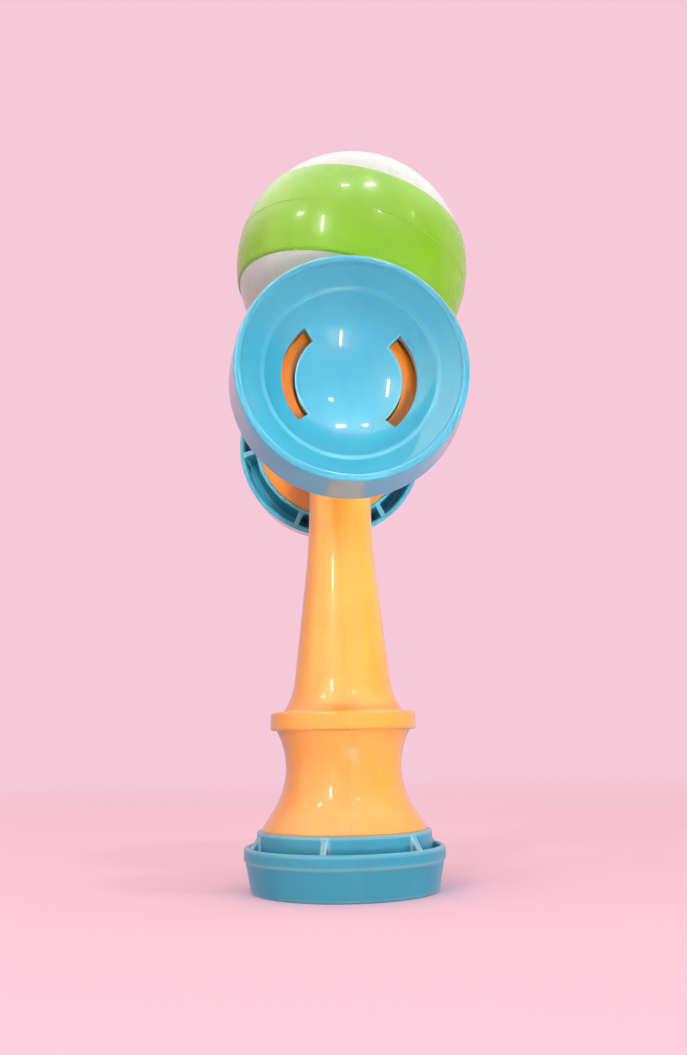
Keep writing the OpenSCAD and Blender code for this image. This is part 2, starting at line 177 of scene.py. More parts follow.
class Bench:
    """Short calls for laying out the nodes of one tree."""

    # A Mix node has sockets for every kind of data, and these are the places of its colours
    MIX_FIRST: ClassVar[int] = 6
    MIX_SECOND: ClassVar[int] = 7
    MIX_RESULT: ClassVar[int] = 2

    def __init__(self, tree: bpy.types.NodeTree) -> None:
        """Keeps the tree that the calls add to."""
        self.tree = tree

    def add(self, kind: str, **settings: object) -> bpy.types.Node:
        """Adds a node.

        Args:
            kind: Blender's name for the node type.
            **settings: Properties to set on the node.

        Returns:
            The new node.
        """
        node = self.tree.nodes.new(kind)
        for name, value in settings.items():
            setattr(node, name, value)
        return node

    def join(self, source: object, target: bpy.types.NodeSocket) -> None:
        """Links a socket to an input, or sets the input to a plain value.

        Args:
            source: An output socket, a number or a tuple.
            target: The input socket.
        """
        if isinstance(source, bpy.types.NodeSocket):
            self.tree.links.new(source, target)
        else:
            target.default_value = source

    def math(self, operation: str, first: object, second: object) -> bpy.types.NodeSocket:
        """Adds a Math node.

        Args:
            operation: Blender's name for the operation.
            first: First operand.
            second: Second operand.

        Returns:
            The node's value.
        """
        node = self.add("ShaderNodeMath", operation=operation)
        self.join(first, node.inputs[0])
        self.join(second, node.inputs[1])
        return node.outputs[0]

    def ramp(self, value: object, span: Span, start: float = 0.0, end: float = 1.0) -> bpy.types.NodeSocket:
        """Adds a smooth Map Range node that stays within its ends.

        Args:
            value: What to map.
            span: Values that give start and end.
            start: Result at the span's first value.
            end: Result at its second value.

        Returns:
            The mapped value.
        """
        node = self.add("ShaderNodeMapRange", interpolation_type="SMOOTHSTEP", clamp=True)
        sources = (value, *span, start, end)
        for source, name in zip(sources, ("Value", "From Min", "From Max", "To Min", "To Max")):
            self.join(source, node.inputs[name])
        return node.outputs["Result"]

    def mix(self, share: object, first: object, second: object) -> bpy.types.NodeSocket:
        """Adds a colour mix.

        Args:
            share: Share of the second colour.
            first: First colour.
            second: Second colour.

        Returns:
            The mixed colour.
        """
        node = self.add("ShaderNodeMix", data_type="RGBA")
        self.join(share, node.inputs["Factor"])
        self.join(first, node.inputs[self.MIX_FIRST])
        self.join(second, node.inputs[self.MIX_SECOND])
        return node.outputs[self.MIX_RESULT]

    def noise(self, place: object, layer: Layer) -> bpy.types.NodeSocket:
        """Adds a noise texture.

        Args:
            place: Coordinates.
            layer: Scale and detail of the noise.

        Returns:
            The noise's value.
        """
        node = self.add("ShaderNodeTexNoise")
        self.join(place, node.inputs["Vector"])
        self.join(layer.scale, node.inputs["Scale"])
        self.join(layer.detail, node.inputs["Detail"])
        return node.outputs["Fac"]


class MouldedSkin:
    """The shader group that every plastic shares: pigment, flow lines, waviness, hairlines and corners with
    a painted highlight.
    """

    NAME: ClassVar[str] = "moulded_skin"
    INPUTS: ClassVar[tuple[tuple[str, Socket], ...]] = (
        ("Pigment", Socket.COLOUR), ("Deep Pigment", Socket.COLOUR), ("Edge Pigment", Socket.COLOUR),
        ("Gloss", Socket.VALUE), ("Gloss Spread", Socket.VALUE), ("Mottle", Socket.VALUE),
        ("Streak", Socket.VALUE), ("Corner", Socket.VALUE),
    )
    OUTPUTS: ClassVar[tuple[tuple[str, Socket], ...]] = (
        ("Colour", Socket.COLOUR), ("Roughness", Socket.VALUE), ("Height", Socket.VALUE),
        ("Normal", Socket.VECTOR),
    )

    # Cloudy pigment, and flow lines drawn out along the upright axis
    CLOUD: ClassVar[Layer] = Layer(scale=55.0, detail=3.0, cut=(0.35, 0.68))
    FLOW: ClassVar[Layer] = Layer(scale=320.0, detail=2.0, cut=(0.42, 0.66))
    FLOW_STRETCH: ClassVar[Point] = (1.0, 1.0, 0.16)

    # Corners: cosines of the turn from the flat normal to the rounded one, and the share of the painted
    # highlight's colour
    CORNER_SAMPLES: ClassVar[int] = 6
    CORNER_TURN: ClassVar[Span] = (0.990, 0.91)
    CORNER_HIGHLIGHT_SHARE: ClassVar[float] = 0.85

    # Hairline scratches: the borders of long thin cells, in patches
    HAIR_SCALE: ClassVar[float] = 420.0
    HAIR_ANGLES: ClassVar[Point] = (0.5, 0.35, 0.8)
    HAIR_STRETCH: ClassVar[Point] = (1.0, 0.045, 1.0)
    HAIR_WIDTH: ClassVar[Span] = (0.020, 0.004)
    HAIR_PATCH: ClassVar[Layer] = Layer(scale=38.0, detail=2.0, cut=(0.52, 0.70))

    # Roughness: a slow drift and a fine grain, and dull scratches
    DRIFT: ClassVar[Layer] = Layer(scale=90.0, detail=3.0)
    DRIFT_GAIN: ClassVar[float] = 1.4
    FINE: ClassVar[Layer] = Layer(scale=2600.0, detail=2.0)
    FINE_GAIN: ClassVar[float] = 0.8
    NOISE_MIDDLE: ClassVar[float] = 0.5
    HAIR_DULLNESS: ClassVar[float] = 0.10
    LEAST_ROUGHNESS: ClassVar[float] = 0.04

    # Height, as shares of the peel: waviness, fine grain and the depth of scratches
    WAVE: ClassVar[Layer] = Layer(scale=420.0, detail=2.0)
    FINE_HEIGHT: ClassVar[float] = 0.08
    HAIR_DEPTH: ClassVar[float] = 0.06

    def __init__(self) -> None:
        """Builds the group."""
        self.tree = bpy.data.node_groups.new(self.NAME, "ShaderNodeTree")
        for in_out, sockets in (("INPUT", self.INPUTS), ("OUTPUT", self.OUTPUTS)):
            for name, kind in sockets:
                self.tree.interface.new_socket(name=name, in_out=in_out, socket_type=kind.value)
        self._lay_out()
        LOG.info("shader group %s", self.NAME)

    def _lay_out(self) -> None:
        """Lays out the group's nodes."""
        bench = Bench(self.tree)
        given = bench.add("NodeGroupInput")
        result = bench.add("NodeGroupOutput")
        place = bench.add("ShaderNodeTexCoord").outputs["Object"]
        soft = bench.add("ShaderNodeBevel", samples=self.CORNER_SAMPLES)
        bench.join(given.outputs["Corner"], soft.inputs["Radius"])
        fine = bench.noise(place, self.FINE)
        hairline = self._hairline(bench, place)

        pigment = self._pigment(bench, given, place)
        flat = bench.add("ShaderNodeNewGeometry").outputs["Normal"]
        turn = bench.add("ShaderNodeVectorMath", operation="DOT_PRODUCT")
        bench.join(soft.outputs["Normal"], turn.inputs[0])
        bench.join(flat, turn.inputs[1])
        # Painted highlight: at corners, where the rounded normal turns away from the flat one, a lighter
        # colour is mixed into the pigment.
        corner = bench.ramp(turn.outputs["Value"], self.CORNER_TURN)
        corner = bench.math("MULTIPLY", corner, self.CORNER_HIGHLIGHT_SHARE)
        colour = bench.mix(corner, pigment, given.outputs["Edge Pigment"])

        wander = bench.math("MULTIPLY", self._wander(bench, place, fine), given.outputs["Gloss Spread"])
        rough = bench.math("ADD", given.outputs["Gloss"], wander)
        rough = bench.math("ADD", rough, bench.math("MULTIPLY", hairline, self.HAIR_DULLNESS))

        height = bench.math("ADD", bench.noise(place, self.WAVE),
                            bench.math("MULTIPLY", fine, self.FINE_HEIGHT))
        height = bench.math("SUBTRACT", height, bench.math("MULTIPLY", hairline, self.HAIR_DEPTH))

        bench.join(colour, result.inputs["Colour"])
        bench.join(bench.math("MAXIMUM", rough, self.LEAST_ROUGHNESS), result.inputs["Roughness"])
        bench.join(height, result.inputs["Height"])
        bench.join(soft.outputs["Normal"], result.inputs["Normal"])

    def _pigment(self, bench: Bench, given: bpy.types.Node,
                 place: bpy.types.NodeSocket) -> bpy.types.NodeSocket:
        """Lays out the pigment with its clouds and flow lines.

        Args:
            bench: Bench of the group.
            given: The group's inputs.
            place: Coordinates.

        Returns:
            The colour.
        """
        stretch = bench.add("ShaderNodeMapping")
        bench.join(self.FLOW_STRETCH, stretch.inputs["Scale"])
        bench.join(place, stretch.inputs["Vector"])
        cloud = bench.ramp(bench.noise(place, self.CLOUD), self.CLOUD.cut)
        flow = bench.ramp(bench.noise(stretch.outputs["Vector"], self.FLOW), self.FLOW.cut)
        depth = bench.math("ADD", bench.math("MULTIPLY", cloud, given.outputs["Mottle"]),
                           bench.math("MULTIPLY", flow, given.outputs["Streak"]))
        share = bench.math("MINIMUM", depth, 1.0)
        return bench.mix(share, given.outputs["Pigment"], given.outputs["Deep Pigment"])

    def _hairline(self, bench: Bench, place: bpy.types.NodeSocket) -> bpy.types.NodeSocket:
        """Lays out the hairline scratches.

        Args:
            bench: Bench of the group.
            place: Coordinates.

        Returns:
            The scratches as a mask.
        """
        slant = bench.add("ShaderNodeMapping")
        bench.join(self.HAIR_ANGLES, slant.inputs["Rotation"])
        bench.join(self.HAIR_STRETCH, slant.inputs["Scale"])
        bench.join(place, slant.inputs["Vector"])
        cells = bench.add("ShaderNodeTexVoronoi", feature="DISTANCE_TO_EDGE")
        bench.join(self.HAIR_SCALE, cells.inputs["Scale"])
        bench.join(slant.outputs["Vector"], cells.inputs["Vector"])
        patch = bench.ramp(bench.noise(place, self.HAIR_PATCH), self.HAIR_PATCH.cut)
        return bench.math("MULTIPLY", bench.ramp(cells.outputs["Distance"], self.HAIR_WIDTH), patch)

    def _wander(self, bench: Bench, place: bpy.types.NodeSocket,
                fine: bpy.types.NodeSocket) -> bpy.types.NodeSocket:
        """Lays out how the roughness goes up and down over the surface.

        Args:
            bench: Bench of the group.
            place: Coordinates.
            fine: The fine grain.

        Returns:
            The change, about zero.
        """
        drift = bench.math("SUBTRACT", bench.noise(place, self.DRIFT), self.NOISE_MIDDLE)
        grain = bench.math("SUBTRACT", fine, self.NOISE_MIDDLE)
        return bench.math("ADD", bench.math("MULTIPLY", drift, self.DRIFT_GAIN),
                          bench.math("MULTIPLY", grain, self.FINE_GAIN))


class Plastic:
    """One moulded plastic, as a material."""

    IOR: ClassVar[float] = 1.49
    POLISH_IOR: ClassVar[float] = 1.5
    POLISH_ROUGHNESS: ClassVar[float] = 0.028

    def __init__(self, name: str, finish: Finish, skin: MouldedSkin) -> None:
        """Builds the material.

        Args:
            name: Name of the material.
            finish: How the plastic looks.
            skin: The shader group that it shares with the others.
        """
        self.material = bpy.data.materials.new(name)
        self.material.use_nodes = True
        self.material.node_tree.nodes.clear()
        bench = Bench(self.material.node_tree)
        group = bench.add("ShaderNodeGroup", node_tree=skin.tree)
        for label, value in (("Pigment", opaque(finish.pigment)), ("Deep Pigment", opaque(finish.deep)),
                             ("Edge Pigment", opaque(finish.edge)), ("Gloss", finish.gloss),
                             ("Gloss Spread", finish.gloss_spread), ("Mottle", finish.mottle),
                             ("Streak", finish.streak), ("Corner", finish.corner)):
            bench.join(value, group.inputs[label])
        bump = bench.add("ShaderNodeBump")
        bump.inputs["Strength"].default_value = 1.0
        bump.inputs["Distance"].default_value = finish.peel
        bench.join(group.outputs["Height"], bump.inputs["Height"])
        bench.join(group.outputs["Normal"], bump.inputs["Normal"])
        shader = bench.add("ShaderNodeBsdfPrincipled")
        bench.join(group.outputs["Colour"], shader.inputs["Base Color"])
        bench.join(group.outputs["Roughness"], shader.inputs["Roughness"])
        bench.join(bump.outputs["Normal"], shader.inputs["Normal"])
        shader.inputs["IOR"].default_value = self.IOR
        shader.inputs["Subsurface Weight"].default_value = finish.glow
        shader.inputs["Subsurface Radius"].default_value = finish.glow_radius
        shader.inputs["Subsurface Scale"].default_value = 1.0
        shader.inputs["Coat Weight"].default_value = finish.shine
        shader.inputs["Coat Roughness"].default_value = self.POLISH_ROUGHNESS
        shader.inputs["Coat IOR"].default_value = self.POLISH_IOR
        out = bench.add("ShaderNodeOutputMaterial")
        bench.join(shader.outputs["BSDF"], out.inputs["Surface"])
        LOG.info("material %s for slot %s", name, finish.slot.value)


@dataclass
class SubAssembly:
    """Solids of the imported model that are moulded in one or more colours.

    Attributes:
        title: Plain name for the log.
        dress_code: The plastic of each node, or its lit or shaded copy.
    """

    title: str = ""
    dress_code: dict[str, BatchOrLitCopy] = field(default_factory=dict)

    def dress(self, plastics: dict[BatchOrLitCopy, Plastic]) -> None:
        """Gives each node its plastic.

        Args:
            plastics: The materials, one for each plastic and each lit or shaded copy.
        """
        for node, batch_or_copy in self.dress_code.items():
            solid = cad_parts[node]
            solid.data.materials.clear()
            solid.data.materials.append(plastics[batch_or_copy].material)
            LOG.info("%s: %s in %s", self.title, node, batch_or_copy.value)


class Side(Enum):
    """The two sides of the handle that the halves of its mould met on."""

    FRONT = -1.0
    BACK = 1.0


class BeadTree:
    """Geometry Nodes that lay a thin round bead of plastic along a curve."""

    NAME: ClassVar[str] = ""
    INPUTS: ClassVar[tuple[tuple[str, Socket], ...]] = ()
    BEAD_SIDES: ClassVar[int] = 8

    def __init__(self) -> None:
        """Builds the tree."""
        self.tree = bpy.data.node_groups.new(self.NAME, "GeometryNodeTree")
        for name, kind in self.INPUTS:
            self.tree.interface.new_socket(name=name, in_out="INPUT", socket_type=kind.value)
        self.tree.interface.new_socket(name="Bead", in_out="OUTPUT", socket_type=Socket.GEOMETRY.value)
        self._lay_out()
        LOG.info("geometry nodes %s", self.NAME)

    def _lay_out(self) -> None:
        """Lays out the tree's nodes."""
        bench = Bench(self.tree)
        given = bench.add("NodeGroupInput")
        section = bench.add("GeometryNodeCurvePrimitiveCircle", mode="RADIUS")
        section.inputs["Resolution"].default_value = self.BEAD_SIDES
        bench.join(given.outputs["Bead Radius"], section.inputs["Radius"])
        bead = bench.add("GeometryNodeCurveToMesh")
        bench.join(self._path(bench, given), bead.inputs["Curve"])
        bench.join(section.outputs["Curve"], bead.inputs["Profile Curve"])
        bench.join(True, bead.inputs["Fill Caps"])
        whole = bench.add("GeometryNodeRealizeInstances")
        bench.join(bead.outputs["Mesh"], whole.inputs["Geometry"])
        painted = bench.add("GeometryNodeSetMaterial")
        bench.join(whole.outputs["Geometry"], painted.inputs["Geometry"])
        bench.join(given.outputs["Plastic"], painted.inputs["Material"])
        result = bench.add("NodeGroupOutput")
        bench.join(painted.outputs["Geometry"], result.inputs["Bead"])

    def _path(self, bench: Bench, given: bpy.types.Node) -> bpy.types.NodeSocket:
        """Lays out the curve that the bead follows, in each kind of bead."""
        raise NotImplementedError

    def press(self, name: str, values: dict[str, object]) -> bpy.types.Object:
        """Makes one bead as a plain mesh.

        Args:
            name: Name of the new piece.
            values: The tree's inputs by name.

        Returns:
            The bead's object.
        """
        bead = bpy.data.objects.new(name, bpy.data.meshes.new(name))
        bpy.context.scene.collection.objects.link(bead)
        modifier = bead.modifiers.new(self.NAME, "NODES")
        modifier.node_group = self.tree
        for item in self.tree.interface.items_tree:
            if item.in_out == "INPUT":
                modifier[item.identifier] = values[item.name]
        graph = bpy.context.evaluated_depsgraph_get()
        mesh = bpy.data.meshes.new_from_object(bead.evaluated_get(graph), depsgraph=graph)
        bead.modifiers.clear()
        bead.data = mesh
        mesh.name = name
        for face in mesh.polygons:
            face.use_smooth = True
        return bead


class MouldLineTree(BeadTree):
    """A bead pressed onto a solid, along an upright line beside it."""

    NAME = "mould_line"
    INPUTS = (
        ("Carrier", Socket.SOLID), ("Side", Socket.VALUE), ("Low", Socket.VALUE), ("High", Socket.VALUE),
        ("Points", Socket.COUNT), ("Bead Radius", Socket.VALUE), ("Sink", Socket.VALUE),
        ("Plastic", Socket.MATERIAL),
    )

    # Distance of the line from the carrier's axis, and its step aside from the mesh's edges, in metres
    REACH: ClassVar[float] = 0.06
    OFF_SEAM: ClassVar[float] = 0.00002

    def _path(self, bench: Bench, given: bpy.types.Node) -> bpy.types.NodeSocket:
        """Lays out an upright line and drops it onto the carrier.

        Args:
            bench: Bench of the tree.
            given: The tree's inputs.

        Returns:
            The curve.
        """
        carrier = bench.add("GeometryNodeObjectInfo", transform_space="RELATIVE")
        bench.join(given.outputs["Carrier"], carrier.inputs["Object"])

        beside = bench.math("MULTIPLY", given.outputs["Side"], self.REACH)
        line = bench.add("GeometryNodeCurvePrimitiveLine")
        for height, end in (("Low", "Start"), ("High", "End")):
            point = bench.add("ShaderNodeCombineXYZ")
            bench.join(self.OFF_SEAM, point.inputs["X"])
            bench.join(beside, point.inputs["Y"])
            bench.join(given.outputs[height], point.inputs["Z"])
            bench.join(point.outputs["Vector"], line.inputs[end])
        fine = bench.add("GeometryNodeResampleCurve", mode="COUNT")
        bench.join(line.outputs["Curve"], fine.inputs["Curve"])
        bench.join(given.outputs["Points"], fine.inputs["Count"])

        inward = bench.add("ShaderNodeCombineXYZ")
        bench.join(bench.math("MULTIPLY", given.outputs["Side"], -1.0), inward.inputs["Y"])
        ray = bench.add("GeometryNodeRaycast")
        bench.join(carrier.outputs["Geometry"], ray.inputs["Target Geometry"])
        bench.join(inward.outputs["Vector"], ray.inputs["Ray Direction"])
        bench.join(self.REACH, ray.inputs["Ray Length"])
        missed = bench.add("FunctionNodeBooleanMath", operation="NOT")
        bench.join(ray.outputs["Is Hit"], missed.inputs[0])
        kept = bench.add("GeometryNodeDeleteGeometry", domain="POINT")
        bench.join(fine.outputs["Curve"], kept.inputs["Geometry"])
        bench.join(missed.outputs["Boolean"], kept.inputs["Selection"])
        sunk = bench.add("ShaderNodeVectorMath", operation="SCALE")
        bench.join(inward.outputs["Vector"], sunk.inputs[0])
        bench.join(given.outputs["Sink"], sunk.inputs["Scale"])
        pressed = bench.add("GeometryNodeSetPosition")
        bench.join(kept.outputs["Geometry"], pressed.inputs["Geometry"])
        bench.join(ray.outputs["Hit Position"], pressed.inputs["Position"])
        bench.join(sunk.outputs["Vector"], pressed.inputs["Offset"])
        return pressed.outputs["Geometry"]


class SeamTree(BeadTree):
    """A bead around a ball, where its two halves are welded."""

    NAME = "weld_seam"
    INPUTS = (
        ("Centre", Socket.VECTOR), ("Turn", Socket.ROTATION), ("Ring Radius", Socket.VALUE),
        ("Points", Socket.COUNT), ("Bead Radius", Socket.VALUE), ("Plastic", Socket.MATERIAL),
    )

    def _path(self, bench: Bench, given: bpy.types.Node) -> bpy.types.NodeSocket:
        """Lays out a ring, turned and moved onto the seam.

        Args:
            bench: Bench of the tree.
            given: The tree's inputs.

        Returns:
            The curve.
        """
        ring = bench.add("GeometryNodeCurvePrimitiveCircle", mode="RADIUS")
        bench.join(given.outputs["Points"], ring.inputs["Resolution"])
        bench.join(given.outputs["Ring Radius"], ring.inputs["Radius"])
        placed = bench.add("GeometryNodeTransform")
        bench.join(ring.outputs["Curve"], placed.inputs["Geometry"])
        bench.join(given.outputs["Centre"], placed.inputs["Translation"])
        bench.join(given.outputs["Turn"], placed.inputs["Rotation"])
        return placed.outputs["Geometry"]


@dataclass
class Stem(SubAssembly):
    """The handle with its spike, and the crossbar on it.

    Attributes:
        line_low: Height at which the mould's lines leave the base cup's collar, in metres.
        line_high: Height at which they reach the crossbar, in metres.
        line_points: Number of points along each line.
        line_radius: Radius of the bead that a line is, in metres.
        line_sink: Depth of the bead's middle under the handle's surface, in metres.
    """

    title: str = "stem"
    # The crossbar wears the shaded copy of the handle's orange: painted shade.
    dress_code: dict[str, BatchOrLitCopy] = field(
        default_factory=lambda: {"handle": BatchOrLitCopy.HANDLE, "crossbar": BatchOrLitCopy.CROSSBAR})
    line_low: float = 0.01375
    line_high: float = 0.1035
    line_points: int = 900
    line_radius: float = 0.00024
    line_sink: float = 0.000205

    def dress(self, plastics: dict[BatchOrLitCopy, Plastic]) -> None:
        """Gives each node its plastic, and the handle the lines that its mould left.

        Args:
            plastics: The materials, one for each plastic and each lit or shaded copy.
        """
        super().dress(plastics)
        tree = MouldLineTree()
        for side in Side:
            bead = tree.press(f"handle_mould_line_{side.name.lower()}", {
                "Carrier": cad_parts["handle"], "Side": side.value, "Low": self.line_low,
                "High": self.line_high, "Points": self.line_points, "Bead Radius": self.line_radius,
                "Sink": self.line_sink, "Plastic": plastics[BatchOrLitCopy.HANDLE].material})
            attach(bead, "toy")
            LOG.info("%s: %s, %d faces", self.title, bead.name, len(bead.data.polygons))


@dataclass
class Cups(SubAssembly):
    """The three cups on the crossbar's bells and the handle's foot."""

    title: str = "cups"
    # The base cup wears the shaded copy of the cups' blue: painted shade.
    dress_code: dict[str, BatchOrLitCopy] = field(
        default_factory=lambda: {"big_cup": BatchOrLitCopy.CUP, "small_cup": BatchOrLitCopy.CUP, "base_cup": BatchOrLitCopy.BASE})


@dataclass
class Ball(SubAssembly):
    """The ball: two white caps and the two halves of its green band.

    Attributes:
        centre: Centre of the seated ball, in metres.
        axis: Direction through the middles of its caps.
        seam_ring: Radius of the weld seam's middle line, in metres.
        seam_radius: Radius of the bead that fills the seam's groove, in metres.
        seam_points: Number of points around the seam.
    """

    title: str = "ball"
    centre: Point = (0.003993, 0.000543, 0.155023)
    axis: Point = (0.257911, 0.083678, 0.962538)
    seam_ring: float = 0.02986
    seam_radius: float = 0.00020
    seam_points: int = 480
    dress_code: dict[str, BatchOrLitCopy] = field(default_factory=lambda: {
        "ball_upper_cap": BatchOrLitCopy.CAP, "ball_upper_band": BatchOrLitCopy.BAND,
        "ball_lower_band": BatchOrLitCopy.BAND, "ball_lower_cap": BatchOrLitCopy.CAP})

    def dress(self, plastics: dict[BatchOrLitCopy, Plastic]) -> None:
        """Gives each node its plastic, and the band the bead along its weld.

        Args:
            plastics: The materials, one for each plastic and each lit or shaded copy.
        """
        super().dress(plastics)
        turn = Vector(self.axis).to_track_quat("Z", "Y").to_euler()
        seam = SeamTree().press("ball_weld_seam", {
            "Centre": self.centre, "Turn": turn, "Ring Radius": self.seam_ring, "Points": self.seam_points,
            "Bead Radius": self.seam_radius, "Plastic": plastics[BatchOrLitCopy.BAND].material})
        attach(seam, "ball")
        LOG.info("%s: %s, %d faces", self.title, seam.name, len(seam.data.polygons))


@dataclass(frozen=True)
class Lamp:
    """A rectangular lamp that looks at the toy.

    Attributes:
        name: Name of the light.
        azimuth: Degrees to the right of the side that the big cup faces.
        elevation: Degrees above the horizon.
        distance: Distance from the aim, in metres.
        size: Width and height, in metres.
        watts: Power.
        aim: The point that it looks at.
        spread: Full angle of its beam, in degrees.
        mirrored: Whether gloss shows it.
        spares_floor: Whether its light passes the floor by.
    """

    name: str
    azimuth: float
    elevation: float
    distance: float
    size: tuple[float, float]
    watts: float
    aim: Point = (0.0, -0.028, 0.135)
    spread: float = 180.0
    mirrored: bool = True
    spares_floor: bool = False

    def hang(self, spared: bpy.types.Collection) -> None:
        """Makes the light.

        Args:
            spared: The floor, as a collection that a light can leave out.
        """
        data = bpy.data.lights.new(self.name, "AREA")
        data.shape = "RECTANGLE"
        data.size, data.size_y = self.size
        data.energy = self.watts
        data.spread = math.radians(self.spread)
        lamp = bpy.data.objects.new(self.name, data)
        turn, rise = math.radians(self.azimuth), math.radians(self.elevation)
        level = Vector((math.sin(turn), -math.cos(turn), 0.0))
        away = level * math.cos(rise) + Vector((0.0, 0.0, math.sin(rise)))
        lamp.location = Vector(self.aim) + away * self.distance
        lamp.rotation_euler = (-away).to_track_quat("-Z", "Y").to_euler()
        lamp.visible_camera = False
        lamp.visible_glossy = self.mirrored
        if self.spares_floor:
            lamp.light_linking.receiver_collection = spared
            lamp.light_linking.blocker_collection = spared
        bpy.context.scene.collection.objects.link(lamp)
        LOG.info("light %s", self.name)


@dataclass(frozen=True)
class Dome:
    """Soft light from all round, or what the gloss shows in its place.

    Attributes:
        left: Gain on the left.
        right: Gain on the right.
        top: Gain overhead.
        low: Gain at the horizon.
        back: Colour behind the toy.
        under_front: Colour below the horizon, on the big cup's side.
        under_back: Colour below the horizon, on the other side.
        notch: Gain straight in front, where the camera stands in the light.
        white: Colour of the rest.
        warm: Colour that the rest takes on the left.
    """

    left: float
    right: float
    top: float
    low: float
    back: Colour
    under_front: Colour
    under_back: Colour
    notch: float = 1.0
    white: Colour = (1.0, 0.985, 0.985)
    warm: Colour = (1.2, 1.0, 0.85)

    # Where the gains and colours change, along X, Y and Z of the direction
    LEFT_X: ClassVar[Span] = (-1.0, 0.2)
    RIGHT_X: ClassVar[Span] = (0.65, 1.0)
    WARM_X: ClassVar[Span] = (-0.1, -0.8)
    BACK_Y: ClassVar[Span] = (-0.05, 0.25)
    UNDER_BACK_Y: ClassVar[Span] = (-0.3, 0.3)
    LOW_Z: ClassVar[Span] = (0.0, 0.3)
    TOP_Z: ClassVar[Span] = (0.3, 1.0)
    BACK_Z: ClassVar[Span] = (0.8, 0.4)
    UNDER_Z: ClassVar[Span] = (0.12, -0.16)

    # Direction of the notch, and the cosines at its rim and where it is full
    NOTCH_WAY: ClassVar[Point] = (0.09, -0.99, -0.11)
    NOTCH_RIM: ClassVar[Span] = (0.90, 0.99)

    def paint(self, bench: Bench, way: bpy.types.NodeSocket) -> bpy.types.NodeSocket:
        """Lays out the dome's colours.

        Args:
            bench: Bench of the world's tree.
            way: Direction that a ray leaves in.

        Returns:
            The dome's background shader.
        """
        axes = bench.add("ShaderNodeSeparateXYZ")
        bench.join(way, axes.inputs["Vector"])
        x, y, z = (axes.outputs[name] for name in "XYZ")

        across = bench.math("MULTIPLY", bench.ramp(x, self.LEFT_X, self.left, 1.0),
                            bench.ramp(x, self.RIGHT_X, 1.0, self.right))
        upward = bench.math("MULTIPLY", bench.ramp(z, self.LOW_Z, self.low, 1.0),
                            bench.ramp(z, self.TOP_Z, 1.0, self.top))
        tint = bench.mix(bench.ramp(x, self.WARM_X), opaque(self.white), opaque(self.warm))
        white = bench.add("ShaderNodeVectorMath", operation="SCALE")
        bench.join(tint, white.inputs[0])
        bench.join(bench.math("MULTIPLY", across, upward), white.inputs["Scale"])

        behind = bench.math("MULTIPLY", bench.ramp(y, self.BACK_Y), bench.ramp(z, self.BACK_Z))
        over = bench.mix(behind, white.outputs["Vector"], opaque(self.back))
        under = bench.mix(bench.ramp(y, self.UNDER_BACK_Y),
                          opaque(self.under_front), opaque(self.under_back))
        ahead = bench.add("ShaderNodeVectorMath", operation="DOT_PRODUCT")
        bench.join(way, ahead.inputs[0])
        bench.join(self.NOTCH_WAY, ahead.inputs[1])
        gain = bench.ramp(ahead.outputs["Value"], self.NOTCH_RIM, 1.0, self.notch)

        shader = bench.add("ShaderNodeBackground")
        bench.join(bench.mix(bench.ramp(z, self.UNDER_Z), over, under), shader.inputs["Color"])
        bench.join(gain, shader.inputs["Strength"])
        return shader.outputs["Background"]


